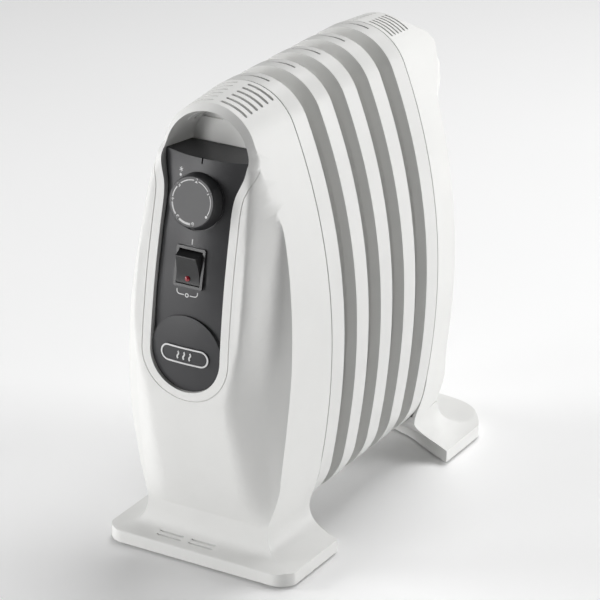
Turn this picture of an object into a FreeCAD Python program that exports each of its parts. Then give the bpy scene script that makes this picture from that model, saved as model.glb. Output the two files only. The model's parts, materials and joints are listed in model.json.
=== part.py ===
import FreeCAD, Part
import math
import os

os.makedirs("parts", exist_ok=True)
doc = FreeCAD.newDocument("heater")
V = FreeCAD.Vector

# Driving dimensions, mm. y = 0 is the joint between the front casing and the first fin,
# -y is the front, z = 0 is the floor.
sheet = doc.addObject("Spreadsheet::Sheet", "dims")
dims = {
    "fin_pitch": 38.1, "fin_width": 18.5, "fin_count": 5, "fin_top": 373.6, "fin_bottom": 22.0,
    "fin_half": 76.5, "fin_wall": 1.0, "rim_depth": 9.0, "face_step": 4.5,
    "top_arc": 44.45, "side_up_arc": 455.6, "side_low_arc": 554.0, "corner_arc": 55.0,
    "case_wall": 2.6, "draft_inset": 8.0, "draft_run": 100.0,
    "foot_half": 84.0, "foot_front": 76.0, "foot_lip": 12.5, "foot_lift": 2.0,
    "key_half": 30.6, "key_head": 36.6, "key_head_z": 329.0, "key_low_z": 183.5,
    "shelf_z": 331.0, "pocket_back": 28.0, "panel_wall": 2.4,
    "knob_face": 19.6, "knob_base": 21.6, "knob_height": 9.0, "knob_tilt": 13.0,
    "bezel_width": 25.1, "bezel_height": 31.0, "switch_tilt": 11.9,
    "header_r": 16.0, "header_bore": 12.5, "element_r": 4.0,
    "centre_shift": 96.0,
}
for row, (word, size) in enumerate(dims.items(), 1):
    sheet.set("A%d" % row, word)
    sheet.set("B%d" % row, str(size))
    sheet.setAlias("B%d" % row, word)
doc.recompute()
d = {word: float(sheet.get(word)) for word in dims}
base_at = FreeCAD.Placement(V(0, -d["centre_shift"], 0), FreeCAD.Rotation())
nodes = {}


def keep(name, thing):
    thing.Label = name
    thing.Placement = base_at.multiply(thing.Placement)
    nodes[name] = thing


def keep_shape(name, shape):
    thing = doc.addObject("Part::Feature", name)
    thing.Shape = shape
    keep(name, thing)


# ---- sketch and body helpers ----

def body(name):
    made = doc.addObject("PartDesign::Body", name + "_body")
    keep(name, made)
    return made


def plane_of(made, role):
    return [f for f in made.Origin.OriginFeatures if f.Role == role][0]


def sketch(made, role, offset, curves):
    sk = made.newObject("Sketcher::SketchObject", made.Name + "_sk")
    sk.AttachmentSupport = [(plane_of(made, role), "")]
    sk.MapMode = "FlatFace"
    sk.AttachmentOffset = FreeCAD.Placement(V(0, 0, offset), FreeCAD.Rotation())
    for curve in curves:
        sk.addGeometry(curve, False)
    return sk


def feature(made, kind, sk, length, reverse=False, alias=None):
    f = made.newObject("PartDesign::" + kind, made.Name + "_" + kind)
    f.Profile = sk
    f.Length = length
    if alias:
        f.setExpression("Length", "dims." + alias)
    f.Reversed = reverse
    sk.Visibility = False
    return f


def ring(radius, x=0.0, y=0.0):
    return Part.Circle(V(x, y, 0), V(0, 0, 1), radius)


def line(a, b):
    return Part.LineSegment(V(a[0], a[1], 0), V(b[0], b[1], 0))


def chain(points):
    return [line(a, b) for a, b in zip(points, points[1:] + points[:1])]


def arc3(a, b, c):
    return Part.Arc(V(a[0], a[1], 0), V(b[0], b[1], 0), V(c[0], c[1], 0))


def round_box(cx, cy, w, h, r):
    x0, x1, y0, y1 = cx - w / 2, cx + w / 2, cy - h / 2, cy + h / 2
    k = r * (1 - math.sqrt(0.5))
    return [line((x0 + r, y0), (x1 - r, y0)), arc3((x1 - r, y0), (x1 - k, y0 + k), (x1, y0 + r)),
            line((x1, y0 + r), (x1, y1 - r)), arc3((x1, y1 - r), (x1 - k, y1 - k), (x1 - r, y1)),
            line((x1 - r, y1), (x0 + r, y1)), arc3((x0 + r, y1), (x0 + k, y1 - k), (x0, y1 - r)),
            line((x0, y1 - r), (x0, y0 + r)), arc3((x0, y0 + r), (x0 + k, y0 + k), (x0 + r, y0))]


def extrude(curves, place, direction):
    """A solid from flat curves drawn in local x, y, placed and pushed along a direction."""
    wire = Part.Wire([c.toShape() for c in curves])
    wire.Placement = place
    return Part.Face(wire).extrude(direction)


front_on = FreeCAD.Rotation(V(1, 0, 0), 90)      # local x, y -> world x, z


def upright(curves, y, depth):
    """Outline drawn in x, z at the given y, pushed back by depth."""
    return extrude(curves, FreeCAD.Placement(V(0, y, 0), front_on), V(0, depth, 0))


def flat(curves, z, height):
    return extrude(curves, FreeCAD.Placement(V(0, 0, z), FreeCAD.Rotation()), V(0, 0, height))


def tilted(degrees, y, z):
    """Frame whose local z leaves the panel towards the user and local x is world x."""
    return FreeCAD.Placement(V(0, y, z), FreeCAD.Rotation(V(1, 0, 0), 90 - degrees))


def tube(a, b, r):
    a, b = V(*a), V(*b)
    return Part.makeCylinder(r, (b - a).Length, a, b - a)


def sweep(points, r):
    """Round wire through corner points, with balls at the bends."""
    solid = tube(points[0], points[1], r)
    for a, b in zip(points[1:], points[2:]):
        solid = solid.fuse([Part.makeSphere(r, V(*a)), tube(a, b, r)])
    return solid


# ---- the barrel outline shared by the fins and both casings ----

top_c = (0.0, d["fin_top"] - d["top_arc"])
up_c = (d["fin_half"] - d["side_up_arc"], 170.0)
low_c = (d["fin_half"] - d["side_low_arc"], 170.0)
corner_z = d["fin_bottom"] + d["corner_arc"]
corner_c = (low_c[0] + math.sqrt((d["side_low_arc"] - d["corner_arc"]) ** 2 - (corner_z - 170.0) ** 2),
            corner_z)


def on_arc(centre, radius, toward):
    dx, dz = toward[0] - centre[0], toward[1] - centre[1]
    n = math.hypot(dx, dz)
    return (centre[0] + radius * dx / n, centre[1] + radius * dz / n)


def at_height(centre, radius, z):
    return (centre[0] + math.sqrt(radius ** 2 - (z - centre[1]) ** 2), z)


def mirror(p):
    return (-p[0], p[1])


def barrel_side(inset):
    """Join points and mid points of the right side, top to bottom, moved in by inset."""
    up_r, low_r = d["side_up_arc"] - inset, d["side_low_arc"] - inset
    join = on_arc(up_c, up_r, top_c)
    waist = (d["fin_half"] - inset, 170.0)
    mid_up = at_height(up_c, up_r, 260.0)
    return join, mid_up, waist, low_r


def barrel(inset):
    """Closed fin outline as sketch curves in x, z."""
    join, mid_up, waist, low_r = barrel_side(inset)
    corner_r = d["corner_arc"] - inset
    hip = on_arc(low_c, low_r, (low_c[0] + (corner_c[0] - low_c[0]) * 2,
                               low_c[1] + (corner_c[1] - low_c[1]) * 2))
    mid_low = at_height(low_c, low_r, 120.0)
    turn = math.radians(-45)
    mid_corner = (corner_c[0] + corner_r * math.cos(turn), corner_c[1] + corner_r * math.sin(turn))
    under = (corner_c[0], d["fin_bottom"] + inset)
    crown = (0.0, d["fin_top"] - inset)
    right = [arc3(join, mid_up, waist), arc3(waist, mid_low, hip), arc3(hip, mid_corner, under)]
    left = [arc3(mirror(under), mirror(mid_corner), mirror(hip)),
            arc3(mirror(hip), mirror(mid_low), mirror(waist)),
            arc3(mirror(waist), mirror(mid_up), mirror(join))]
    return right + [line(under, mirror(under))] + left + [arc3(mirror(join), crown, join)]


# ---- fins: hollow pressed shells with a folded rim and raised header seats ----

low_header = 66.0
high_header = 318.0
fin_last = d["fin_pitch"] * 4 + d["fin_width"]
slot_back = 11.2
slot_turn = 16.5


def crown_at(radius, degrees):
    a = math.radians(degrees)
    return (top_c[0] + radius * math.cos(a), top_c[1] + radius * math.sin(a))


for k in range(int(d["fin_count"])):
    name = "fin_%d" % (k + 1)
    fin = body(name)
    y0 = d["fin_pitch"] * k
    # XZ sketches look along -Y, so an offset of -y places them at +y
    feature(fin, "Pad", sketch(fin, "XZ_Plane", -y0, barrel(0)), d["fin_width"], True, "fin_width")
    inner = barrel(d["rim_depth"])
    seat = [ring(d["header_r"], 0, low_header), ring(d["header_r"], 0, high_header)]
    feature(fin, "Pocket", sketch(fin, "XZ_Plane", -y0, inner + seat), d["face_step"], False, "face_step")
    feature(fin, "Pocket", sketch(fin, "XZ_Plane", -(y0 + d["fin_width"]), inner + seat),
            d["face_step"], True, "face_step")
    wall = d["fin_wall"]
    core = barrel(wall)
    feature(fin, "Pocket", sketch(fin, "XZ_Plane", -(y0 + d["face_step"] + wall), core),
            d["fin_width"] - 2 * (d["face_step"] + wall), False)
    hollow = barrel(wall) + barrel(d["rim_depth"] - wall)
    feature(fin, "Pocket", sketch(fin, "XZ_Plane", -(y0 + wall), hollow),
            d["face_step"], False, "face_step")
    feature(fin, "Pocket", sketch(fin, "XZ_Plane", -(y0 + d["fin_width"] - wall), hollow),
            d["face_step"], True, "face_step")
    bores = [ring(d["header_bore"], 0, low_header), ring(d["header_bore"], 0, high_header)]
    if k == 4:
        # the last fin is closed at the back
        feature(fin, "Pocket", sketch(fin, "XZ_Plane", -y0, bores), d["fin_width"] - wall, False)
    elif k == 0:
        # the first fin opens only low at the front, for the element
        feature(fin, "Pocket", sketch(fin, "XZ_Plane", -(y0 + wall), bores), d["fin_width"], False)
        feature(fin, "Pocket", sketch(fin, "XZ_Plane", -y0, [ring(d["header_bore"], 0, low_header)]),
                d["fin_width"], False)
    else:
        feature(fin, "Pocket", sketch(fin, "XZ_Plane", -y0, bores), d["fin_width"], False)
    # narrow seam slot along the crown of the rim
    slot_out, slot_in = d["top_arc"] + 1.0, d["top_arc"] - 0.7
    slot = [arc3(*[crown_at(r, 90 + turn) for turn in (-slot_turn, 0, slot_turn)])
            for r in (slot_out, slot_in)]
    for turn in (-slot_turn, slot_turn):
        slot.append(line(crown_at(slot_out, 90 + turn), crown_at(slot_in, 90 + turn)))
    feature(fin, "Pocket", sketch(fin, "XZ_Plane", -(y0 + slot_back - 0.9), slot), 1.8, False)


# ---- curved skins ----

def table_at(table, z):
    """Smooth value of each column of a table whose rows start with the height."""
    if z <= table[0][0]:
        return list(table[0][1:])
    if z >= table[-1][0]:
        return list(table[-1][1:])
    i = max(n for n, r in enumerate(table) if r[0] <= z)
    i = min(i, len(table) - 2)
    a, b = table[i], table[i + 1]
    before, after = table[max(i - 1, 0)], table[min(i + 2, len(table) - 1)]
    span = b[0] - a[0]
    t = (z - a[0]) / span
    out = []
    for c in range(1, len(a)):
        slope_a = (b[c] - before[c]) / (b[0] - before[0]) * span
        slope_b = (after[c] - a[c]) / (after[0] - a[0]) * span
        out.append(a[c] * (2 * t ** 3 - 3 * t ** 2 + 1) + slope_a * (t ** 3 - 2 * t ** 2 + t)
                   + b[c] * (3 * t ** 2 - 2 * t ** 3) + slope_b * (t ** 3 - t ** 2))
    return out


def soft(t):
    t = min(1.0, max(0.0, t))
    return t * t * (3 - 2 * t)


def skin_solid(depth_at, half, across, z_low, z_high, up, push):
    """Solid behind the surface y = depth_at(x, z), pushed back by push."""
    grid = []
    for j in range(up + 1):
        z = z_low + (z_high - z_low) * j / up
        grid.append([V(x, depth_at(abs(x), z), z)
                     for x in [half * (2.0 * i / across - 1) for i in range(across + 1)]])
    surface = Part.BSplineSurface()
    surface.interpolate(grid)
    return surface.toShape().extrude(V(0, push, 0))


# height, base centre, side edge, raised plate, half width where the flank starts, where it ends
front_rows = [
    (38.0, -57.5, -57.5, -57.5, 30.0, 60.0), (48.0, -60.5, -56.5, -60.5, 30.0, 60.0),
    (70.0, -67.5, -56.0, -67.5, 30.0, 60.0), (100.0, -76.0, -57.0, -76.0, 30.0, 60.0),
    (130.0, -83.5, -56.5, -84.0, 30.0, 60.0), (150.0, -86.0, -55.3, -88.5, 32.0, 61.0),
    (170.0, -83.0, -54.2, -89.3, 38.0, 62.0), (190.0, -77.5, -53.0, -88.3, 43.0, 62.0),
    (215.0, -70.5, -51.0, -85.5, 46.0, 61.5), (243.0, -65.0, -48.5, -81.3, 46.0, 61.0),
    (270.0, -60.5, -46.2, -76.0, 44.0, 60.0), (295.0, -56.5, -44.6, -70.4, 42.0, 59.0),
    (315.0, -52.5, -43.0, -65.2, 41.0, 57.0), (330.0, -50.0, -42.0, -61.2, 40.0, 55.0),
    (345.0, -49.0, -42.0, -58.6, 38.0, 54.0), (362.0, -49.0, -43.0, -57.2, 36.0, 54.0),
    (392.0, -49.0, -43.0, -56.0, 36.0, 54.0)]
side_half = [(38.0, 55.0), (80.0, 64.0), (120.0, 70.0), (170.0, 72.0), (220.0, 69.5), (260.0, 63.5),
             (300.0, 54.5), (330.0, 45.5), (392.0, 40.0)]


def head_round(x, z, reach, drop):
    """How far the surface falls back near the arched edge of a casing."""
    if z > top_c[1]:
        inside = d["top_arc"] - 4.0 - math.hypot(x, z - top_c[1])
    else:
        inside = table_at(side_half, z)[0] - x
    return drop * max(0.0, 1 - max(inside, -8.0) / reach) ** 2


def front_depth(x, z):
    centre, edge, plate, start, end = table_at(front_rows, z)
    half = table_at(side_half, z)[0]
    base = centre + (edge - centre) * (x / half) ** 2
    side = soft((x - start) / (end - start))
    rounding = soft((z - 288) / 42) * head_round(x, z, 13.0, 8.0)
    if plate >= base:
        return base + rounding
    return plate * (1 - side) + base * side + rounding


def case_wire(y, inset, tight=0.0):
    """Barrel outline with its sides run out into the foot, in a wide sweep or a tighter one."""
    join, mid_up, waist, low_r = barrel_side(inset)
    hip = at_height(low_c, low_r, 80.0)
    mid_low = at_height(low_c, low_r, 120.0)
    s = inset
    t = tight
    run = [hip, (67.0 - s, 66.0), (61.8 - s, 48.5), (58.8 - s, 36.0), (60.6 - t - 0.95 * s, 28.5 - 1.5 * t),
           (65.5 - 3.0 * t - 0.8 * s, 22.0 - 3.0 * t), (73.0 - 4.0 * t - 0.5 * s, 16.8 - 2.4 * t),
           (d["foot_half"] - 0.1 * s, d["foot_lip"])]
    tip, toe = run[-1], (run[-1][0], d["foot_lift"])
    to3 = lambda p: V(p[0], y, p[1])
    curve = Part.BSplineCurve()
    curve.interpolate([to3(p) for p in run])
    back = Part.BSplineCurve()
    back.interpolate([to3(mirror(p)) for p in reversed(run)])
    arc = lambda a, b, c: Part.Arc(to3(a), to3(b), to3(c))
    edge = lambda a, b: Part.LineSegment(to3(a), to3(b))
    crown = (0.0, d["fin_top"] - inset)
    parts = [arc(join, mid_up, waist), arc(waist, mid_low, hip), curve, edge(tip, toe),
             edge(toe, mirror(toe)), edge(mirror(toe), mirror(tip)), back,
             arc(mirror(hip), mirror(mid_low), mirror(waist)),
             arc(mirror(waist), mirror(mid_up), mirror(join)), arc(mirror(join), crown, join)]
    return Part.Wire([p.toShape() for p in parts])


def case_block(y_start, toward, inset=0.0):
    """Solid barrel with draft, from y_start to y_start + toward."""
    near = case_wire(y_start, inset)
    far = case_wire(y_start + toward, inset + d["draft_inset"] * abs(toward) / d["draft_run"], 1.0)
    return Part.makeLoft([near, far], True, True)


def keyhole(grow=0.0):
    """Panel opening: round foot, straight sides, a neck and a round head."""
    low_r, head_r = d["key_half"] + grow, d["key_head"] + grow
    low_z, head_z = d["key_low_z"], d["key_head_z"]
    neck = [(29.7 + grow, 286.0), (29.6 + grow, 297.0), (31.2 + grow, 309.0), (34.9 + grow, 318.5),
            (head_r, head_z)]
    spline = Part.BSplineCurve()
    spline.interpolate([V(p[0], p[1], 0) for p in neck])
    other = Part.BSplineCurve()
    other.interpolate([V(-p[0], p[1], 0) for p in reversed(neck)])
    return [arc3((-low_r, low_z), (0, low_z - low_r), (low_r, low_z)), line((low_r, low_z), neck[0]),
            spline, arc3((head_r, head_z), (0, head_z + head_r), (-head_r, head_z)), other,
            line(mirror(neck[0]), (-low_r, low_z))]


def arch(r, y, floor):
    """Head of the keyhole above a flat floor, as a wire."""
    half = math.sqrt(r ** 2 - (floor - d["key_head_z"]) ** 2)
    a, b, top = V(half, y, floor), V(-half, y, floor), V(0, y, d["key_head_z"] + r)
    return Part.Wire([Part.Arc(a, top, b).toShape(), Part.makeLine(b, a)])


def slab(points, z, height):
    return flat(chain(points), z, height)


def side_section(points, half):
    """Closed y, z outline whose first and last edges are straight, pushed across the full width."""
    run = Part.BSplineCurve()
    run.interpolate([V(-half, p[0], p[1]) for p in points[1:-2]])
    edges = [Part.makeLine(V(-half, *points[0]), V(-half, *points[1])), run.toShape(),
             Part.makeLine(V(-half, *points[-3]), V(-half, *points[-2])),
             Part.makeLine(V(-half, *points[-2]), V(-half, *points[-1])),
             Part.makeLine(V(-half, *points[-1]), V(-half, *points[0]))]
    return Part.Face(Part.Wire(edges)).extrude(V(2 * half, 0, 0))


def box(x0, x1, y0, y1, z0, z1):
    return Part.makeBox(x1 - x0, y1 - y0, z1 - z0, V(x0, y0, z0))


def moved(shape, x=0, y=0, z=0):
    copy = shape.copy()
    copy.translate(V(x, y, z))
    return copy


# where the pads, the base screws and the base covers go under each foot
ceiling = d["foot_lift"] + 7.3
screw_r = 1.5
places = {
    "front": ([(-66, -58), (66, -58), (-66, -8), (66, -8)], [(-50, -54), (50, -54), (-50, 2), (50, 2)],
              box(-56, 56, -60, 8, ceiling - 2.3, ceiling)),
    "rear": ([(-68, 212), (68, 212), (-50, 257), (50, 257)], [(-34, 238), (34, 238)],
             box(-42, 42, 231, 252, ceiling - 2.3, ceiling)),
}


def screw_holes(end):
    return [tube((x, y, 0), (x, y, ceiling + 2.6), screw_r + 0.1) for x, y in places[end][1]]


# ---- front casing ----

lift, lip, foot_y = d["foot_lift"], d["foot_lip"], -d["foot_front"]
foot_x = d["foot_half"]
split = 38.0
seam = -1.2
front_skin = skin_solid(front_depth, 84.0, 40, split, 386.0, 54, 200.0)
front_block = case_block(0.0, -d["draft_run"])
upper = front_block.common(front_skin).common(box(-100, 100, -100, seam, split, 400))
toe_run = [(foot_y, lift), (foot_y, lip - 2.0), (foot_y + 0.6, lip - 0.6), (foot_y + 2.2, lip + 0.1),
           (-69.5, 13.9), (-63.5, 16.8), (-59.4, 24.0), (-57.5, split),
           (seam, split), (seam, lift)]
plan = [line((-foot_x, 1), (-foot_x, foot_y + 16)),
        arc3((-foot_x, foot_y + 16), (-foot_x + 4.7, foot_y + 4.7), (-foot_x + 16, foot_y)),
        line((-foot_x + 16, foot_y), (foot_x - 16, foot_y)),
        arc3((foot_x - 16, foot_y), (foot_x - 4.7, foot_y + 4.7), (foot_x, foot_y + 16)),
        line((foot_x, foot_y + 16), (foot_x, 1)),
        line((foot_x, 1), (-foot_x, 1))]
toe = front_block.common(side_section(toe_run, 100.0)).common(flat(plan, 0, 60))
heel = slab([(-foot_x + 0.1, seam - 1), (-52, 18), (52, 18), (foot_x - 0.1, seam - 1)], lift, lip - lift)
front_outer = upper.fuse([toe, heel]).removeSplitter()
wall = d["case_wall"]
inner_skin = moved(front_skin, y=wall + 0.4)
front_inner = case_block(1.0, -d["draft_run"], wall).common(inner_skin).common(
    box(-100, 100, -100, 2, split, 400))
well = box(-51, 51, -54, 2, lift - 1, split + 0.5)
under = slab([(-80.4, -3), (-80.4, -62), (-70, -72.4), (70, -72.4), (80.4, -62), (80.4, -3),
              (51, 14.5), (-51, 14.5)], lift - 1, 8.3)
collar = upright(keyhole(2.2), -100, 54).common(front_skin)
shelf_z = d["shelf_z"]
pocket_back = -d["pocket_back"]
shelf_gap = shelf_z + 0.3
pocket_mouth = -58.0
pocket_out = Part.makeLoft([arch(39.4, pocket_mouth - 6, shelf_gap),
                            arch(32.2, pocket_back + 2.2, shelf_gap)], True, True).common(front_skin)
pocket_in = Part.makeLoft([arch(37.4, pocket_mouth - 4, shelf_gap - 1),
                           arch(30.0, pocket_back, shelf_gap - 1)], True, True)
front_case = front_outer.cut([front_inner, well, under]).fuse([collar, pocket_out])
front_case = front_case.cut([upright(keyhole(), -100, 100 + pocket_mouth), pocket_in,
                             upright(keyhole(), -100, 56).common(box(-60, 60, -100, 0, 0, shelf_gap))])
groove = upright(keyhole(7.6), -100, 60).cut(upright(keyhole(6.9), -101, 62)).cut(
    moved(front_skin, y=0.8))
front_case = front_case.cut(groove)
vents = []
for n in range(6):
    y = -6.3 - 7.2 * n
    for side in (-1, 1):
        vents.append(flat(round_box(side * (15.3 - 0.2 * n), y, 22.5, 2.8, 1.35), 350, 40))
for n, y in enumerate((-65.0, -68.6)):
    for x in (-27.5, 1.5):
        vents.append(flat(round_box(x - 0.8 * n, y, 22.0, 1.3, 0.6), 8, 40))
inlet_hole = tube((-75, -30, 75), (-60, -30, 75), 5.6)
front_case = front_case.cut(vents + [inlet_hole] + screw_holes("front"))
keep_shape("front_casing", max(front_case.Solids, key=lambda s: s.Volume))


# ---- control panel: recessed shell with a shelf on top, a knob seat and a raised round foot ----

# height, middle of the surface, how much its sides fall back
panel_rows = [(150.0, -86.0, 2.0), (184.0, -86.0, 2.5), (212.0, -84.8, 3.5), (233.0, -83.0, 4.5),
              (251.0, -80.3, 5.5), (270.0, -77.4, 6.5), (302.0, -70.0, 7.0), (331.0, -62.3, 6.0)]


def panel_depth(x, z):
    centre, crown = table_at(panel_rows, z)
    return centre + crown * (x / 32.0) ** 2


def put(shape, place):
    copy = shape.copy()
    copy.Placement = place.multiply(copy.Placement)
    return copy


def drum(r, z0, z1, x=0.0, y=0.0):
    return Part.makeCylinder(r, z1 - z0, V(x, y, z0))


def block(w, h, z0, z1):
    return Part.makeBox(w, h, z1 - z0, V(-w / 2, -h / 2, z0))


def rounded(w, h, r, z0, z1):
    return flat(round_box(0, 0, w, h, r), z0, z1 - z0)


knob_at = tilted(d["knob_tilt"], -78.4, 301.9)        # centre of the knob's face
switch_at = tilted(d["switch_tilt"], -80.3, 251.0)    # centre of the switch, on the panel
knob_low = -d["knob_height"]
seat_top = knob_low - 0.3
skin_gap = 0.35
dome_top, dome_r = -88.8, 182.5
dome_c = V(0, dome_top + dome_r, d["key_low_z"])
panel_back = -46.0
panel_skin = skin_solid(panel_depth, 40.0, 12, 140.0, 345.0, 20, 70.0)
dome = Part.makeSphere(dome_r, dome_c).common(
    tube((0, -100, d["key_low_z"]), (0, -78, d["key_low_z"]), d["key_half"] - skin_gap))
face = panel_skin.common(upright(keyhole(-skin_gap), -100, 100 + panel_back))
seat = put(drum(d["knob_base"] + 0.6, seat_top - 6.0, seat_top), knob_at).common(
    upright(keyhole(-skin_gap), -100, 50))
inner = upright(keyhole(-skin_gap - d["panel_wall"]), -100, 60).common(moved(panel_skin, y=d["panel_wall"]))
panel = face.fuse([dome, seat]).common(box(-60, 60, -100, 0, 100, shelf_z))
panel = panel.cut(inner.common(box(-60, 60, -100, 0, 100, shelf_z - d["panel_wall"])))
shelf = upright(keyhole(-skin_gap), -100, 100 + pocket_back - 0.3).common(panel_skin).common(
    box(-60, 60, -100, pocket_back - 0.3, shelf_z - d["panel_wall"], shelf_z))
index = box(-0.6, 0.6, -65, -60.5, shelf_z - 4, shelf_z + 1)
bush_r, spindle_r = 4.8, 3.0
panel = panel.fuse(shelf).cut([index, put(drum(bush_r + 0.2, -20, 0), knob_at),
                               put(drum(d["knob_base"] + 0.6, seat_top, 20), knob_at),
                               put(rounded(25.6, 31.5, 1.8, -1.2, 8), switch_at),
                               put(block(23.6, 29.2, -30, 5), switch_at)])
keep_shape("control_panel", max(panel.Solids, key=lambda s: s.Volume))

# ---- knob, spindle and thermostat ----
face_r, base_r = d["knob_face"], d["knob_base"]
profile = Part.Wire([
    Part.makeLine(V(0, 0, -0.5), V(face_r - 3.0, 0, 0)),
    Part.makeLine(V(face_r - 3.0, 0, 0), V(face_r - 1.2, 0, 0)),
    Part.Arc(V(face_r - 1.2, 0, 0), V(face_r - 0.3, 0, -0.4), V(face_r, 0, -1.2)).toShape(),
    Part.makeLine(V(face_r, 0, -1.2), V(base_r, 0, knob_low)),
    Part.makeLine(V(base_r, 0, knob_low), V(base_r - 2.0, 0, knob_low)),
    Part.makeLine(V(base_r - 2.0, 0, knob_low), V(face_r - 2.0, 0, -2.6)),
    Part.makeLine(V(face_r - 2.0, 0, -2.6), V(6.0, 0, -2.6)),
    Part.makeLine(V(6.0, 0, -2.6), V(6.0, 0, knob_low)),
    Part.makeLine(V(6.0, 0, knob_low), V(0, 0, knob_low)),
    Part.makeLine(V(0, 0, knob_low), V(0, 0, -0.5))])
knob = Part.Face(profile).revolve(V(0, 0, 0), V(0, 0, 1), 360)
keep_shape("knob", put(knob.cut(drum(spindle_r + 0.02, -10, -3.2)), knob_at))
keep_shape("thermostat_spindle", put(drum(spindle_r, -22.0, -3.3), knob_at))
thermo = drum(15.0, -27.0, -13.5).fuse([drum(bush_r, -13.5, -10.0), drum(6.5, -32, -27)])
keep_shape("thermostat_body", put(thermo.cut(drum(spindle_r + 0.04, -22.1, -5)), knob_at))
blades = [Part.makeBox(0.8, 6.3, 13.0, V(x, -3.1, -40)) for x in (-9.0, 9.0)]
blades.append(Part.makeBox(4.0, 0.8, 13.0, V(-2.0, -10.0, -40)))
keep_shape("thermostat_terminals", put(Part.makeCompound(blades), knob_at))

# ---- rocker switch ----
bezel_w, bezel_h = d["bezel_width"], d["bezel_height"]
housing = rounded(bezel_w, bezel_h, 1.6, -1.1, 1.5).fuse(block(23.2, 28.8, -19.0, -1.1))
housing = housing.cut([block(20.6, 26.4, -15.0, 5.0),
                       Part.makeCylinder(1.36, 30.0, V(-15, 0, -3), V(1, 0, 0))])
keep_shape("switch_housing", put(housing, switch_at))
side = Part.Wire([
    Part.Arc(V(0, -12.4, 1.4), V(0, -3.0, 3.1), V(0, 7.6, 8.2)).toShape(),
    Part.Arc(V(0, 7.6, 8.2), V(0, 8.6, 8.4), V(0, 9.3, 7.7)).toShape(),
    Part.makeLine(V(0, 9.3, 7.7), V(0, 12.2, 1.0)),
    Part.makeLine(V(0, 12.2, 1.0), V(0, 12.0, -5.0)),
    Part.Arc(V(0, 12.0, -5.0), V(0, 0, -11.5), V(0, -12.2, -5.0)).toShape(),
    Part.makeLine(V(0, -12.2, -5.0), V(0, -12.4, 1.4))])
side.translate(V(-10.1, 0, 0))
rocker = Part.Face(side).extrude(V(20.2, 0, 0))
sides = [(-10.1, -20), (10.1, -20), (10.1, 1.5), (8.5, 9.5), (-8.5, 9.5), (-10.1, 1.5)]
taper = upright(chain(sides), -20, 40)
lens_y = -8.4
rocker = rocker.common(taper).fuse(Part.makeCylinder(1.3, 21.8, V(-10.9, 0, -3), V(1, 0, 0)))
lens = drum(2.05, -1.0, 2.3, 0, lens_y).fuse(Part.makeSphere(2.5, V(0, lens_y, 1.2)).common(
    drum(2.05, 2.3, 5, 0, lens_y)))
keep_shape("switch_rocker", put(rocker.cut(drum(2.1, -1.0, 9.0, 0, lens_y)), switch_at))
keep_shape("switch_lens", put(lens, switch_at))
tabs = [Part.makeBox(4.8, 0.8, 8.0, V(x - 2.4, y, -27)) for x in (-6.0, 6.0) for y in (-7.0, 7.0)]
keep_shape("switch_terminals", put(Part.makeCompound(tabs), switch_at))

# ---- badge plate, bent to the dome ----
badge = upright(round_box(0, 0, 42.0, 14.0, 6.99), -95, 12)
badge.translate(V(0, 0, 183.0))
shell = Part.makeSphere(dome_r + 0.9, dome_c).cut(Part.makeSphere(dome_r, dome_c))
keep_shape("badge_plate", badge.common(shell))

# ---- rear casing ----
rear_y = fin_last + 1.2
# height, middle of the surface, how much its sides fall back
rear_rows = [(38.0, 219.0, 0.0), (60.0, 220.5, 2.0), (100.0, 222.0, 4.0), (180.0, 224.0, 5.0),
             (250.0, 222.5, 5.0), (300.0, 221.0, 4.0), (345.0, 220.0, 3.0), (392.0, 218.0, 3.0)]


def rear_depth(x, z):
    centre, crown = table_at(rear_rows, z)
    hood = soft((z - 292.0) / 22.0) * soft((370.0 - z) / 22.0) * soft((52.0 - x) / 16.0)
    rounding = soft((z - 45.0) / 60.0) * head_round(x, z, 14.0, 8.0)
    return centre - crown * (x / 60.0) ** 2 + 21.0 * hood - rounding


rear_skin = skin_solid(rear_depth, 84.0, 40, split, 386.0, 54, -120.0)
rear_block = case_block(fin_last, d["draft_run"])
rear_upper = rear_block.common(rear_skin).common(box(-100, 100, rear_y, 300, split, 400))
rear_run = [(282.0, lift), (282.0, lip), (250.0, 13.6), (231.0, 16.2), (222.5, 23.0), (219.0, split),
            (rear_y, split), (rear_y, lift)]
rear_toe = side_section(rear_run, 100.0)
tail = Part.BSplineCurve()
tail.interpolate([V(foot_x, 240, 0), V(78.2, 252, 0), V(61.7, 269, 0), V(36, 278, 0), V(0, 281.5, 0),
                  V(-36, 278, 0), V(-61.7, 269, 0), V(-78.2, 252, 0), V(-foot_x, 240, 0)])
rear_plan = [line((foot_x, 160), (foot_x, 240)), tail, line((-foot_x, 240), (-foot_x, 160)),
             line((-foot_x, 160), (foot_x, 160))]
# half width, front edge of the foot there
bow_rows = [(-32.0, 212.0), (0.0, 220.0), (32.0, 212.0), (53.0, 200.0), (68.0, 191.0), (84.0, 183.0),
            (100.0, 176.0)]


def bow_depth(x, z):
    back = max(0.0, min(1.0, (split - z) / 25.5)) ** 1.5
    return fin_last + (table_at(bow_rows, x)[0] - fin_last) * back


bow_skin = skin_solid(bow_depth, 96.0, 24, -4.0, 62.0, 22, 130.0)
wide_block = Part.makeLoft([case_wire(fin_last, 0.0), case_wire(fin_last + 30, 2.4, 0.5),
                            case_wire(fin_last + 115, 4.0, 1.0)], True, True)
rear_foot = wide_block.common(rear_toe).common(flat(rear_plan, 0, 60)).common(bow_skin)
rear_outer = rear_upper.fuse(rear_foot).removeSplitter()
rear_inner = case_block(fin_last - 1, d["draft_run"], wall).common(moved(rear_skin, y=-wall - 0.4)).common(
    box(-100, 100, fin_last - 2, 300, split + 3.0, 400))
grip_floor, grip_r, grip_z, grip_end = 301.0, 33.0, 312.0, 196.0


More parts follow.
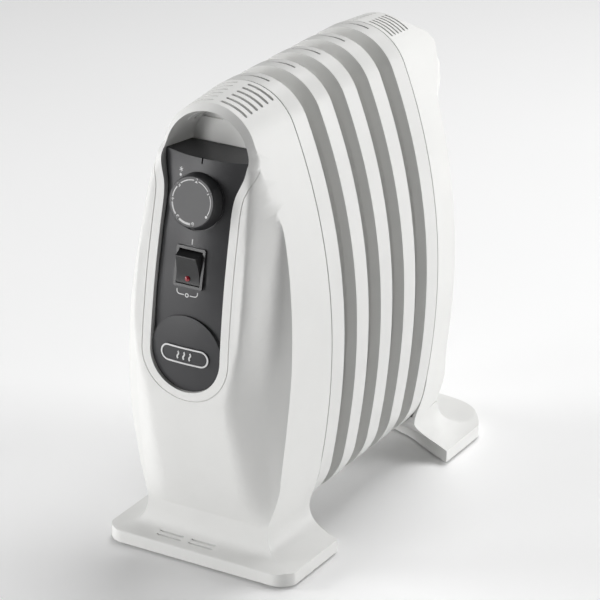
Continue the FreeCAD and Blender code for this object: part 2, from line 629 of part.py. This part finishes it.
def grip(r, y, floor):
    half = math.sqrt(r ** 2 - (floor - grip_z) ** 2)
    a, b, top = V(half, y, floor), V(-half, y, floor), V(0, y, grip_z + r)
    return Part.Wire([Part.Arc(a, top, b).toShape(), Part.makeLine(b, a)])


grip_out = Part.makeLoft([grip(grip_r + 2.2, 245, grip_floor - 2.2),
                          grip(grip_r - 4.8, grip_end - 2.2, grip_floor - 2.2)], True, True)
grip_out = grip_out.common(rear_skin)
grip_in = Part.makeLoft([grip(grip_r, 245, grip_floor), grip(grip_r - 7, grip_end, grip_floor)], True, True)
rear_under = flat(chain([(-79.5, 196), (-79.5, 238), (-62, 262), (-36, 273), (36, 273), (62, 262),
                         (79.5, 238), (79.5, 196), (70, 196), (40, 216), (0, 226), (-40, 216), (-70, 196)]),
                  lift - 1, 8.3)
rear_vents = []
for n in range(6):
    for end in (-1, 1):
        slit = round_box(end * (15.6 - 0.2 * n), rear_y + 5.6 + 5.5 * n, 22.0, 2.4, 1.1)
        rear_vents.append(flat(slit, 352, 40))
rear_case = rear_outer.cut([rear_inner, rear_under]).fuse(grip_out).cut(
    [grip_in] + rear_vents + screw_holes("rear"))
keep_shape("rear_casing", max(rear_case.Solids, key=lambda s: s.Volume))

# ---- what joins and fills the fins ----
gap_start = [d["fin_pitch"] * k + d["fin_width"] for k in range(4)]
gap = d["fin_pitch"] - d["fin_width"]
for name, z in (("header_nipples_top", high_header), ("header_nipples_bottom", low_header)):
    tubes = [tube((0, y, z), (0, y + gap, z), d["header_r"] - 0.5).cut(
        tube((0, y - 1, z), (0, y + gap + 1, z), d["header_bore"])) for y in gap_start]
    keep_shape(name, Part.makeCompound(tubes))
plate = 1.5
bracket = upright(round_box(0, 192.0, 46.0, 296.0, 6.0), -plate, plate)
bracket = bracket.cut([tube((0, -9, low_header), (0, 9, low_header), d["header_bore"]),
                       tube((0, -9, high_header), (0, 9, high_header), 5.5)]
                      + [tube((0, -9, z), (0, 9, z), 10.0) for z in (120.0, 150.0, 250.0, 280.0)])
keep_shape("front_bracket", bracket)
back = upright(round_box(0, 192.0, 46.0, 296.0, 6.0), fin_last, plate)
back = back.cut([tube((0, 160, z), (0, 180, z), 10.0) for z in (100.0, 140.0, 180.0, 220.0, 260.0)])
keep_shape("rear_bracket", back)
flange = tube((0, -plate - 3, low_header), (0, -plate, low_header), 15.5).fuse(
    tube((0, -plate, low_header), (0, 4.0, low_header), d["header_bore"] - 0.1))
leg, el_r, el_end = 6.0, d["element_r"], 140.0
flange = flange.cut([tube((x, -20, low_header), (x, 20, low_header), el_r + 0.05) for x in (-leg, leg)])
keep_shape("element_flange", flange)
bend = Part.makeTorus(leg, el_r, V(0, el_end, low_header), V(0, 0, 1), 0, 360, 180)
legs = [tube((x, -14, low_header), (x, el_end, low_header), el_r) for x in (-leg, leg)]
keep_shape("heating_element", legs[0].fuse([legs[1], bend]))
pins = [tube((x, -22, low_header), (x, -14, low_header), 1.8) for x in (-leg, leg)]
keep_shape("element_terminals", Part.makeCompound(pins))
plug = tube((0, -plate, high_header), (0, 0, high_header), 5.0)
hexagon = [(7.5 * math.cos(math.radians(60 * n)), high_header + 7.5 * math.sin(math.radians(60 * n)))
           for n in range(6)]
keep_shape("filler_plug", plug.fuse(upright(chain(hexagon), -plate - 4.5, 4.5)))
cutout = tube((0, -plate - 6, 200), (0, -plate, 200), 8.5)
keep_shape("thermal_cutout", cutout.fuse([box(-1, 1, -13, -7, 193, 197), box(-1, 1, -13, -7, 203, 207)]))
shield_y = -15.0
spots = [(-20.0, 60.0), (20.0, 60.0), (-20.0, 270.0), (20.0, 270.0)]
shield = upright(round_box(0, 165.0, 84.0, 222.0, 12.0), shield_y, 0.8)
shield = shield.cut([tube((0, -20, low_header), (0, -10, low_header), 14.0)]
                    + [tube((x, -20, z), (x, -10, z), 1.6) for x, z in spots])
keep_shape("heat_shield", shield)
spacers = [tube((x, shield_y + 0.8, z), (x, -plate, z), 3.5) for x, z in spots]
keep_shape("shield_spacers", Part.makeCompound(spacers))
shield_screws = [tube((x, shield_y - 2, z), (x, shield_y, z), 3.0).fuse(
    tube((x, shield_y, z), (x, shield_y + 0.8, z), 1.5)) for x, z in spots]
keep_shape("shield_screws", Part.makeCompound(shield_screws))

# ---- wiring inside the front casing ----
strip = box(-18, 18, -40, -28, 46, 58)
keep_shape("terminal_block", strip.cut([tube((x, -60, 52), (x, 0, 52), 2.2) for x in (-12, 0, 12)]))
wire_r = 1.3
live = [(-12, -40.2, 52), (-12, -43.5, 60), (-12, -41, 100), (-10, -41, 170), (-6, -47, 205),
        (-6, -50.5, 234)]
neutral = [(-p[0], p[1], p[2]) for p in live]
earth = [(0, -27.8, 52), (0, -24, 50), (0, -18, 44), (0, -10, 44)]
for name, route in (("live_wire", live), ("neutral_wire", neutral), ("earth_wire", earth)):
    keep_shape(name, sweep(route, wire_r))

# ---- cord inlet in the hidden flank ----
inlet_y, inlet_z = -30.0, 75.0
gland = tube((-69.8, inlet_y, inlet_z), (-67.4, inlet_y, inlet_z), 7.4).fuse(
    [tube((-67.4, inlet_y, inlet_z), (-56, inlet_y, inlet_z), 5.4),
     tube((-62.0, inlet_y, inlet_z), (-58.5, inlet_y, inlet_z), 8.0)])
keep_shape("cord_inlet", gland.cut(tube((-75, inlet_y, inlet_z), (-50, inlet_y, inlet_z), 3.4)))

# ---- base covers, screws and pads ----
for end, (pads, screws, cover) in places.items():
    cuts = [tube((x, y, 0), (x, y, 20), screw_r + 0.1) for x, y in screws]
    keep_shape(end + "_base_cover", cover.cut(cuts))
    fasteners = [tube((x, y, ceiling - 4.3), (x, y, ceiling - 2.3), 3.0).fuse(
        tube((x, y, ceiling - 2.3), (x, y, ceiling + 2.4), screw_r)) for x, y in screws]
    keep_shape(end + "_base_screws", Part.makeCompound(fasteners))
    feet = [drum(8.0, 0, 4.5, x, y).fuse(drum(3.0, 4.5, ceiling, x, y)) for x, y in pads]
    keep_shape(end + "_pads", Part.makeCompound(feet))


# ---- check and export ----

doc.recompute()
for thing in doc.Objects:
    if "Invalid" in thing.State or "Error" in thing.State:
        raise RuntimeError(thing.Name + " did not recompute")
    if thing.isDerivedFrom("Part::Feature") and (thing.Shape.isNull() or not thing.Shape.isValid()):
        raise RuntimeError(thing.Name + " has no valid shape")
for name, thing in nodes.items():
    thing.Shape.exportStep("parts/%s.step" % name)
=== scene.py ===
import bpy
import json
import math
from mathutils import Matrix, Vector
from mathutils.bvhtree import BVHTree


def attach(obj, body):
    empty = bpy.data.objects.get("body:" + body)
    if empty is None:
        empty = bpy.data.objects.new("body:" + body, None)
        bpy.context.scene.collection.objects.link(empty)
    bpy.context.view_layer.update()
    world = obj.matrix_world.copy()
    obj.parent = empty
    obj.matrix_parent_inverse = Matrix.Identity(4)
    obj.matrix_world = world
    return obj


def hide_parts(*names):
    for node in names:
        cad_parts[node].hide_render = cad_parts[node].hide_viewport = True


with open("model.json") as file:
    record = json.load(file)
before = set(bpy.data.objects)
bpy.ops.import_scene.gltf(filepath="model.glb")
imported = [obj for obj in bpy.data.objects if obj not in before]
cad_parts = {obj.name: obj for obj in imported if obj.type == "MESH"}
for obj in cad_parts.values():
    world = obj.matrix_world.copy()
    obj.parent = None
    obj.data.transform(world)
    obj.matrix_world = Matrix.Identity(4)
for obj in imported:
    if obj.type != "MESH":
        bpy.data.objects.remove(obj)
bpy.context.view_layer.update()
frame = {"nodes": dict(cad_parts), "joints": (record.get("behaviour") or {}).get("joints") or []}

scene = bpy.context.scene
nodes = frame["nodes"]
mm = 0.001
print("frame loaded:", len(nodes), "nodes")


# ---------- camera, floor and light ----------

cameraSetup = {
    "azimuth": 30.013,      # degrees to the right of straight on
    "elevation": 22.93,
    "roll": 0.632,
    "distance": 2.3111,     # metres from the point looked at
    "lookAt": (-0.00752, -0.00075, 0.1599),
    "focalLength": 173.3,   # on a 36 mm wide sensor
}


def makeCamera(setup):
    az, el, roll = (math.radians(setup[word]) for word in ("azimuth", "elevation", "roll"))
    back = Vector((math.sin(az) * math.cos(el), -math.cos(az) * math.cos(el), math.sin(el)))
    flatX = Vector((0, 0, 1)).cross(back).normalized()
    flatY = back.cross(flatX)
    axisX = math.cos(roll) * flatX + math.sin(roll) * flatY
    axisY = math.cos(roll) * flatY - math.sin(roll) * flatX
    data = bpy.data.cameras.new("studioCamera")
    data.lens = setup["focalLength"]
    data.sensor_width = 36.0
    data.clip_end = 50.0
    camera = bpy.data.objects.new("studioCamera", data)
    scene.collection.objects.link(camera)
    turn = Matrix((axisX, axisY, back)).transposed().to_4x4()
    camera.matrix_world = Matrix.Translation(Vector(setup["lookAt"]) + back * setup["distance"]) @ turn
    scene.camera = camera


ambient = 0.1    # strength of the white surroundings

# metres and watts
lightSetup = {
    "keyLeft": {"place": (-2.2, -1.3, 0.9), "size": 1.1, "power": 34.0},
    "sideRight": {"place": (2.0, 1.4, 0.8), "size": 1.5, "power": 40.0},
    "overhead": {"place": (0.1, 1.2, 2.4), "size": 1.8, "power": 42.0},
    "front": {"place": (-1.2, -2.2, 0.45), "size": 0.7, "power": 17.0},
}


def makeLights(setup):
    for name, spec in setup.items():
        data = bpy.data.lights.new(name, "AREA")
        data.shape = "DISK"
        data.size = spec["size"]
        data.energy = spec["power"]
        lamp = bpy.data.objects.new(name, data)
        scene.collection.objects.link(lamp)
        place = Vector(spec["place"])
        aim = Vector((0.0, 0.0, 0.18)) - place
        lamp.matrix_world = Matrix.Translation(place) @ aim.to_track_quat("-Z", "Y").to_matrix().to_4x4()
    world = bpy.data.worlds.new("paleRoom")
    world.use_nodes = True
    world.node_tree.nodes["Background"].inputs["Color"].default_value = (1.0, 1.0, 1.0, 1.0)
    world.node_tree.nodes["Background"].inputs["Strength"].default_value = ambient
    scene.world = world
    scene.view_settings.view_transform = "Standard"


# ---------- materials ----------

def hexColor(word):
    channels = [int(word[i:i + 2], 16) / 255 for i in (1, 3, 5)]
    return tuple(c / 12.92 if c <= 0.04045 else ((c + 0.055) / 1.055) ** 2.4 for c in channels) + (1.0,)


def addNode(tree, kind, settings=None, inputs=None, links=None):
    node = tree.nodes.new(kind)
    for word, value in (settings or {}).items():
        setattr(node, word, value)
    for word, value in (inputs or {}).items():
        node.inputs[word].default_value = value
    for word, source in (links or {}).items():
        tree.links.new(source, node.inputs[word])
    return node


def startMaterial(name):
    material = bpy.data.materials.new(name)
    material.use_nodes = True
    tree = material.node_tree
    shader = tree.nodes["Principled BSDF"]
    place = addNode(tree, "ShaderNodeTexCoord").outputs["Object"]
    return material, tree, shader, place


def finishMaterial(name, finish):
    material, tree, shader, place = startMaterial(name)
    low, high = hexColor(finish["color"]), hexColor(finish["shade"])
    # broad, faint unevenness of colour, a few centimetres across
    cloud = addNode(tree, "ShaderNodeTexNoise", None,
                    {"Scale": 1 / (finish["cloud"] * mm), "Detail": 3.0}, {"Vector": place})
    tone = addNode(tree, "ShaderNodeMix", {"data_type": "RGBA"}, {"A": low, "B": high},
                   {"Factor": cloud.outputs["Fac"]})
    tree.links.new(tone.outputs["Result"], shader.inputs["Base Color"])
    # fine grain of the surface
    if finish.get("stretch"):
        run = addNode(tree, "ShaderNodeMapping", None, {"Scale": finish["stretch"]}, {"Vector": place})
        place = run.outputs["Vector"]
    grain = addNode(tree, "ShaderNodeTexNoise", None,
                    {"Scale": 1 / (finish["grain"] * mm), "Detail": finish.get("detail", 4.0),
                     "Roughness": 0.6}, {"Vector": place})
    rough = addNode(tree, "ShaderNodeMapRange", None,
                    {"To Min": finish["roughness"] - finish["spread"],
                     "To Max": finish["roughness"] + finish["spread"]}, {"Value": grain.outputs["Fac"]})
    tree.links.new(rough.outputs["Result"], shader.inputs["Roughness"])
    bump = addNode(tree, "ShaderNodeBump", None,
                   {"Strength": finish["bump"], "Distance": finish["height"] * mm},
                   {"Height": grain.outputs["Fac"]})
    tree.links.new(bump.outputs["Normal"], shader.inputs["Normal"])
    shader.inputs["IOR"].default_value = finish.get("ior", 1.5)
    shader.inputs["Metallic"].default_value = finish.get("metallic", 0.0)
    shader.inputs["Coat Weight"].default_value = finish.get("coat", 0.0)
    shader.inputs["Coat Roughness"].default_value = finish.get("coatRoughness", 0.1)
    return material


finishes = {
    # stove enamel on pressed steel: even white with a faint orange peel about 1.5 mm across
    "whiteEnamel": {"color": "#E2E2E0", "shade": "#DADAD8", "cloud": 60, "grain": 1.5, "roughness": 0.36,
                    "spread": 0.05, "bump": 0.12, "height": 0.05, "coat": 0.25, "coatRoughness": 0.2},
    # moulded white ABS: spark-eroded tool skin, drawn at 0.5 mm because the real one is too
    # fine to see
    "whiteAbs": {"color": "#EBEBE9", "shade": "#E3E3E1", "cloud": 45, "grain": 0.5, "roughness": 0.5,
                 "spread": 0.06, "bump": 0.10, "height": 0.04},
    # charcoal ABS with a satin texture about 0.4 mm across
    "charcoalAbs": {"color": "#39393B", "shade": "#333335", "cloud": 30, "grain": 0.4, "roughness": 0.42,
                    "spread": 0.07, "bump": 0.16, "height": 0.04},
    "charcoalKnob": {"color": "#2C2C2E", "shade": "#262628", "cloud": 12, "grain": 0.35, "roughness": 0.4,
                     "spread": 0.06, "bump": 0.12, "height": 0.04},
    # black nylon of the switch, a little glossier
    "blackNylon": {"color": "#2A2A2B", "shade": "#222223", "cloud": 8, "grain": 0.3, "roughness": 0.34,
                   "spread": 0.06, "bump": 0.10, "height": 0.03},
    "redPolycarbonate": {"color": "#A01428", "shade": "#8A0F20", "cloud": 2, "grain": 0.3,
                         "roughness": 0.15, "spread": 0.04, "bump": 0.05, "height": 0.02, "ior": 1.58,
                         "coat": 0.6, "coatRoughness": 0.05},
    # pad-printed ink: slightly uneven cover
    "whiteInk": {"color": "#DADADA", "shade": "#C8C8C8", "cloud": 1.5, "grain": 0.2, "roughness": 0.5,
                 "spread": 0.08, "bump": 0.1, "height": 0.02},
    "brightRing": {"color": "#E2E2E2", "shade": "#CFCFCF", "cloud": 6, "grain": 0.25, "roughness": 0.3,
                   "spread": 0.05, "bump": 0.06, "height": 0.02, "metallic": 0.3},
    # zinc plated sheet, rolled along its height
    "zincSteel": {"color": "#B9BAB8", "shade": "#9C9D9B", "cloud": 14, "grain": 0.8, "roughness": 0.38,
                  "spread": 0.1, "bump": 0.2, "height": 0.03, "metallic": 1.0, "stretch": (4, 4, 0.4)},
    "elementSteel": {"color": "#8A8782", "shade": "#6F6C67", "cloud": 10, "grain": 0.6, "roughness": 0.45,
                     "spread": 0.1, "bump": 0.2, "height": 0.03, "metallic": 1.0, "stretch": (4, 0.4, 4)},
    "turnedBrass": {"color": "#C2A35A", "shade": "#A88945", "cloud": 6, "grain": 0.4, "roughness": 0.32,
                    "spread": 0.08, "bump": 0.15, "height": 0.02, "metallic": 1.0},
    "blackRubberAndSlotShade": {"color": "#1E1E1F", "shade": "#171718", "cloud": 6, "grain": 0.5, "roughness": 0.75,
                    "spread": 0.1, "bump": 0.35, "height": 0.06},
    "greyPolypropylene": {"color": "#5A5B5D", "shade": "#4E4F51", "cloud": 20, "grain": 0.5,
                          "roughness": 0.5, "spread": 0.08, "bump": 0.2, "height": 0.05},
    "brownPhenolic": {"color": "#4A3328", "shade": "#3A261D", "cloud": 5, "grain": 0.3, "roughness": 0.4,
                      "spread": 0.1, "bump": 0.15, "height": 0.04},
    "naturalNylon": {"color": "#D9D5C6", "shade": "#CCC8B8", "cloud": 6, "grain": 0.4, "roughness": 0.45,
                     "spread": 0.08, "bump": 0.12, "height": 0.03},
    "brownPvc": {"color": "#6B3A22", "shade": "#5A2F1A", "cloud": 4, "grain": 0.4, "roughness": 0.4,
                 "spread": 0.08, "bump": 0.1, "height": 0.02},
    "bluePvc": {"color": "#27519B", "shade": "#1E4384", "cloud": 4, "grain": 0.4, "roughness": 0.4,
                "spread": 0.08, "bump": 0.1, "height": 0.02},
    "greenPvc": {"color": "#5E9A34", "shade": "#C9B92E", "cloud": 3, "grain": 0.4, "roughness": 0.4,
                 "spread": 0.08, "bump": 0.1, "height": 0.02},
    "paleFloor": {"color": "#FCFCFC", "shade": "#F9F9F9", "cloud": 400, "grain": 4, "roughness": 0.6,
                  "spread": 0.05, "bump": 0.02, "height": 0.02},
}
materials = {name: finishMaterial(name, finish) for name, finish in finishes.items()}
print("materials:", len(materials))


# ---------- helpers for pieces ----------

inkHeight = 0.08        # mm, thickness of a printed stroke before it is laid on a node
inkSwell = 0.13         # mm, how far a numeral's outline is pushed out
joinDistance = 0.002    # mm, under which corners of a CAD node's triangles are one corner
rayStart = 0.5          # metres in front of the object, where the rays for layOn start

def takeOnly(*objs):
    bpy.ops.object.select_all(action="DESELECT")
    for obj in objs:
        obj.select_set(True)
    bpy.context.view_layer.objects.active = objs[0]


def settle(piece, name, material, body, slotName, *replaced):
    piece.name = name
    piece.data.name = name
    piece.data.materials.clear()
    piece.data.materials.append(materials[material])
    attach(piece, body)
    if replaced:
        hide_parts(*replaced)


# A copy of a CAD node with joined triangles, small edge radii and smooth shading.
def finishedCopy(nodeName, name, material, body, slotName, edge, segments=2, sharp=30):
    mesh = nodes[nodeName].data.copy()
    piece = bpy.data.objects.new(name, mesh)
    scene.collection.objects.link(piece)
    takeOnly(piece)
    bpy.ops.object.mode_set(mode="EDIT")
    bpy.ops.mesh.select_all(action="SELECT")
    bpy.ops.mesh.remove_doubles(threshold=joinDistance * mm)
    bpy.ops.mesh.dissolve_limited(angle_limit=math.radians(0.2))
    bpy.ops.object.mode_set(mode="OBJECT")
    if edge:
        bevel = piece.modifiers.new("edgeRadius", "BEVEL")
        bevel.width = edge * mm
        bevel.segments = segments
        bevel.limit_method = "ANGLE"
        bevel.angle_limit = math.radians(sharp)
        bevel.miter_outer = "MITER_ARC"
        bpy.ops.object.modifier_apply(modifier=bevel.name)
    bpy.ops.object.shade_smooth_by_angle(angle=math.radians(sharp))
    weighted = piece.modifiers.new("evenNormals", "WEIGHTED_NORMAL")
    weighted.keep_sharp = True
    bpy.ops.object.modifier_apply(modifier=weighted.name)
    settle(piece, name, material, body, slotName, nodeName)
    return piece


# Local x to the right, local y up along the panel, local z out of it.
def panelFrame(tilt, y, z):
    a = math.radians(tilt)
    return Matrix(((1, 0, 0, 0), (0, math.sin(a), -math.cos(a), y), (0, math.cos(a), math.sin(a), z),
                   (0, 0, 0, 1)))


def placeIn(piece, matrix):
    takeOnly(piece)
    bpy.ops.object.transform_apply(location=True, rotation=True, scale=True)
    piece.data.transform(matrix)


def join(pieces):
    takeOnly(*pieces)
    bpy.ops.object.join()
    return bpy.context.view_layer.objects.active


# A printed arc in the local x, y plane; angles run clockwise from straight up.
def arcStrip(radius, startDeg, endDeg, width):
    start = math.radians(90 - startDeg)
    sweep = math.radians(startDeg - endDeg)
    bpy.ops.object.select_all(action="DESELECT")
    bpy.ops.mesh.primitive_plane_add(size=1, location=(0, 0, 0))
    strip = bpy.context.object
    for v, (r, z) in zip(strip.data.vertices, ((-0.5, -0.5), (0.5, -0.5), (-0.5, 0.5), (0.5, 0.5))):
        across = radius + r * width
        v.co = (across * math.cos(start) * mm, across * math.sin(start) * mm, z * inkHeight * mm)
    bpy.ops.object.mode_set(mode="EDIT")
    bpy.ops.mesh.select_all(action="SELECT")
    bpy.ops.mesh.spin(steps=max(4, int(abs(startDeg - endDeg) / 3)), angle=-sweep, center=(0, 0, 0),
                      axis=(0, 0, 1))
    bpy.ops.mesh.select_all(action="SELECT")
    bpy.ops.mesh.normals_make_consistent(inside=False)
    bpy.ops.object.mode_set(mode="OBJECT")
    return strip


# A printed straight stroke in the local x, y plane.
def barStrip(x0, y0, x1, y1, width):
    length = math.hypot(x1 - x0, y1 - y0)
    bpy.ops.mesh.primitive_cube_add(size=1, location=((x0 + x1) / 2 * mm, (y0 + y1) / 2 * mm, 0),
                                    rotation=(0, 0, math.atan2(y1 - y0, x1 - x0)))
    stroke = bpy.context.object
    stroke.scale = (length * mm, width * mm, inkHeight * mm)
    takeOnly(stroke)
    bpy.ops.object.transform_apply(location=True, rotation=True, scale=True)
    bpy.ops.object.mode_set(mode="EDIT")
    bpy.ops.mesh.select_all(action="SELECT")
    bpy.ops.mesh.subdivide(number_cuts=3)
    bpy.ops.object.mode_set(mode="OBJECT")
    return stroke


# A printed numeral whose top points outwards at turnDeg clockwise from straight up.
def digit(word, radius, turnDeg, size):
    a = math.radians(90 - turnDeg)
    place = (radius * math.cos(a) * mm, radius * math.sin(a) * mm, -inkHeight / 2 * mm)
    bpy.ops.object.text_add(location=place, rotation=(0, 0, math.radians(-turnDeg)))
    text = bpy.context.object
    text.data.body = word
    text.data.size = size * mm
    text.data.align_x = "CENTER"
    text.data.align_y = "CENTER"
    text.data.extrude = inkHeight / 2 * mm
    text.data.offset = inkSwell * mm
    text.data.resolution_u = 4
    takeOnly(text)
    bpy.ops.object.convert(target="MESH")
    return bpy.context.object


# Shifts a flat piece in local x, y, where y will become the height on the panel.
def moveFlat(piece, x, z):
    takeOnly(piece)
    bpy.ops.object.transform_apply(location=True, rotation=True, scale=True)
    for v in piece.data.vertices:
        v.co.x += x * mm
        v.co.y += z * mm
    return piece


# Lays a flat piece on the front of a node: local x stays x and local y becomes z. The piece's
# upper side stands proud of the node by so many mm, and its lower side sinks into it.
def layOn(piece, nodeName, proud, sink=0.15):
    source = nodes[nodeName].data
    tree = BVHTree.FromPolygons([v.co for v in source.vertices], [p.vertices for p in source.polygons])
    takeOnly(piece)
    bpy.ops.object.transform_apply(location=True, rotation=True, scale=True)
    for v in piece.data.vertices:
        x, z = v.co.x, v.co.y
        hit = tree.ray_cast(Vector((x, -rayStart, z)), Vector((0, 1, 0)))[0]
        above = proud if v.co.z > 0 else -sink
        v.co = (x, hit.y - above * mm, z)
    piece.data.update()


makeCamera(cameraSetup)
makeLights(lightSetup)
bpy.ops.object.select_all(action="DESELECT")
bpy.ops.mesh.primitive_plane_add(size=12, location=(0, 0, 0))
floor = bpy.context.object
floor.name = "studioFloor"
floor.data.materials.append(materials["paleFloor"])


# ---------- casings, fins and panel ----------

for k in range(1, 6):
    finishedCopy("fin_%d" % k, "finShell%d" % k, "whiteEnamel", "heater", "fin_paint", 0.8, 3)
finishedCopy("front_casing", "frontShell", "whiteAbs", "heater", "casing_white", 0.5, 3)
finishedCopy("rear_casing", "rearShell", "whiteAbs", "heater", "casing_white", 0.5, 3)
finishedCopy("control_panel", "panelFace", "charcoalAbs", "heater", "panel_dark", 0.4, 2)
finishedCopy("knob", "knobCap", "charcoalKnob", "thermostat_knob", "knob_dark", 0.25, 2)
finishedCopy("switch_housing", "switchBezel", "blackNylon", "heater", "switch_black", 0.3, 2)
finishedCopy("switch_rocker", "rockerKey", "blackNylon", "rocker", "switch_black", 0.35, 3)
finishedCopy("switch_lens", "rockerLens", "redPolycarbonate", "rocker", "lens_red", 0.0)
print("shells done")

cadFinish = {
    "badge_plate": "charcoalAbs", "header_nipples_top": "whiteEnamel",
    "header_nipples_bottom": "whiteEnamel", "front_bracket": "zincSteel",
    "rear_bracket": "zincSteel", "element_flange": "turnedBrass",
    "heating_element": "elementSteel", "element_terminals": "zincSteel",
    "filler_plug": "zincSteel", "thermal_cutout": "brownPhenolic", "heat_shield": "zincSteel",
    "shield_spacers": "zincSteel", "shield_screws": "zincSteel", "terminal_block": "naturalNylon",
    "live_wire": "brownPvc", "neutral_wire": "bluePvc", "earth_wire": "greenPvc",
    "cord_inlet": "greyPolypropylene", "front_base_cover": "greyPolypropylene",
    "rear_base_cover": "greyPolypropylene", "front_base_screws": "zincSteel",
    "rear_base_screws": "zincSteel", "front_pads": "blackRubberAndSlotShade", "rear_pads": "blackRubberAndSlotShade",
    "thermostat_spindle": "turnedBrass", "thermostat_body": "brownPhenolic",
    "thermostat_terminals": "turnedBrass", "switch_terminals": "turnedBrass",
}
for nodeName, finishName in cadFinish.items():
    nodes[nodeName].data.materials.clear()
    nodes[nodeName].data.materials.append(materials[finishName])


# ---------- printed scale on the knob ----------

# mm and degrees clockwise from straight up; each arc is start, end, width
knobScale = {
    "tilt": 13.0,
    "radius": 16.4,
    "digitSize": 4.7,
    "dotRadius": 1.0,
    "marks": {"2": 8, "1": 58, "3": -48, "4": -92, "5": -140, "6": -192},
    "dotAt": 122,
    "arcs": ((116, 64, 0.55), (52, 15, 0.7), (1, -41, 0.8), (-55, -85, 0.95), (-99, -132, 1.15),
             (-148, -184, 1.6)),
}
knobJoint = [j for j in frame["joints"] if j["name"] == "knob_turn"][0]
knobPlace = panelFrame(knobScale["tilt"], knobJoint["pos_m"][1], knobJoint["pos_m"][2])
inks = [digit(word, knobScale["radius"], turn, knobScale["digitSize"])
        for word, turn in knobScale["marks"].items()]
inks += [arcStrip(knobScale["radius"], start, end, width) for start, end, width in knobScale["arcs"]]
bpy.ops.mesh.primitive_cylinder_add(vertices=32, radius=knobScale["dotRadius"] * mm,
                                    depth=inkHeight * mm)
dot = bpy.context.object
dotAngle = math.radians(90 - knobScale["dotAt"])
dot.location = (knobScale["radius"] * math.cos(dotAngle) * mm,
                knobScale["radius"] * math.sin(dotAngle) * mm, 0)
inks.append(dot)
scaleInk = join(inks)
placeIn(scaleInk, knobPlace)
settle(scaleInk, "knobScale", "whiteInk", "thermostat_knob", "knob_dark")


# ---------- painted shade: dark strips in the seam slots along the crowns of the fins ---

# mm, and degrees to each side of the top
crownSlotShade = {"pitch": 38.1, "count": 5, "first": -84.8, "radius": 43.87, "centreZ": 329.15,
             "turn": 16.2, "width": 1.5}

# Painted shadow: black strips sunk just under the shallow slot floors make the slots look like dark
# openings. Here the black rubber finish stands for that shade and not for a rubber part.
slotShadeStrips = []
for k in range(crownSlotShade["count"]):
    bpy.ops.mesh.primitive_grid_add(x_subdivisions=20, y_subdivisions=1, size=2.0)
    strip = bpy.context.object
    for v in strip.data.vertices:
        turn = math.radians(crownSlotShade["turn"] * v.co.x)
        y = crownSlotShade["first"] + crownSlotShade["pitch"] * k + crownSlotShade["width"] / 2 * v.co.y
        v.co = (crownSlotShade["radius"] * mm * math.sin(turn), y * mm,
                crownSlotShade["centreZ"] * mm + crownSlotShade["radius"] * mm * math.cos(turn))
    slotShadeStrips.append(strip)
settle(join(slotShadeStrips), "crownSlotShadow", "blackRubberAndSlotShade", "heater", "fin_paint")


# ---------- marks printed on the panel ----------

fullTurn = 359.9    # degrees, just short of meeting itself

# mm, as seen from the front
panelMarks = {
    "onMark": {"low": 268.2, "high": 272.2, "x": 0.1, "width": 0.85},
    "offMark": {"x": -1.2, "z": 229.4, "half": 9.0, "rise": 3.6, "corner": 2.4, "ring": 1.3,
                "gap": 2.6, "width": 0.75},
    "frost": {"x": -18.0, "z": 319.6, "spoke": 1.9, "width": 0.5, "dropZ": 315.6, "drop": 1.1},
}


on, off, frost = panelMarks["onMark"], panelMarks["offMark"], panelMarks["frost"]
marks = [barStrip(on["x"], on["low"], on["x"], on["high"], on["width"])]
marks.append(moveFlat(arcStrip(off["ring"], 0, fullTurn, off["width"]), off["x"], off["z"]))
for side in (-1, 1):
    outer = off["x"] + side * off["half"]
    inner = off["x"] + side * off["gap"]
    bend = off["x"] + side * (off["half"] - off["corner"])
    marks.append(barStrip(inner, off["z"], bend, off["z"], off["width"]))
    marks.append(barStrip(outer, off["z"] + off["corner"], outer, off["z"] + off["rise"], off["width"]))
    start = 90 if side > 0 else 180
    corner = arcStrip(off["corner"], start, start + 90, off["width"])
    marks.append(moveFlat(corner, bend, off["z"] + off["corner"]))
for turn in (0, 60, 120):
    dx = frost["spoke"] * math.sin(math.radians(turn))
    dz = frost["spoke"] * math.cos(math.radians(turn))
    marks.append(barStrip(frost["x"] - dx, frost["z"] - dz, frost["x"] + dx, frost["z"] + dz,
                          frost["width"]))
drop = arcStrip(frost["drop"] / 2, 0, fullTurn, frost["drop"] * 0.9)
marks.append(moveFlat(drop, frost["x"], frost["dropZ"]))
panelInk = join(marks)
layOn(panelInk, "control_panel", 0.05)
settle(panelInk, "panelMarks", "whiteInk", "heater", "panel_dark")


# ---------- badge: a bright raised outline round a plain sign for warmth ----------

# mm; each wave is two quarter arcs
badge = {"z": 183.0, "straight": 14.0, "ringRadius": 6.2, "ringWidth": 1.25, "waveStep": 5.2,
         "waveRadius": 2.1, "waveWidth": 1.2, "proud": 0.45}
outline = []
for side in (-1, 1):
    start = 0 if side > 0 else 180
    outline.append(moveFlat(arcStrip(badge["ringRadius"], start, start + 180, badge["ringWidth"]),
                            side * badge["straight"], badge["z"]))
    z = badge["z"] + side * badge["ringRadius"]
    for half in (-1, 1):
        outline.append(barStrip(0, z, half * badge["straight"], z, badge["ringWidth"]))
for step in (-1, 0, 1):
    shift = badge["waveRadius"] * math.sqrt(0.5)
    x = step * badge["waveStep"]
    outline.append(moveFlat(arcStrip(badge["waveRadius"], 45, 135, badge["waveWidth"]), x - shift,
                            badge["z"] + shift))
    outline.append(moveFlat(arcStrip(badge["waveRadius"], 225, 315, badge["waveWidth"]), x + shift,
                            badge["z"] - shift))
badgeRing = join(outline)
layOn(badgeRing, "badge_plate", badge["proud"], 0.05)
settle(badgeRing, "badgeOutline", "brightRing", "heater", "badge")

print("pieces done")
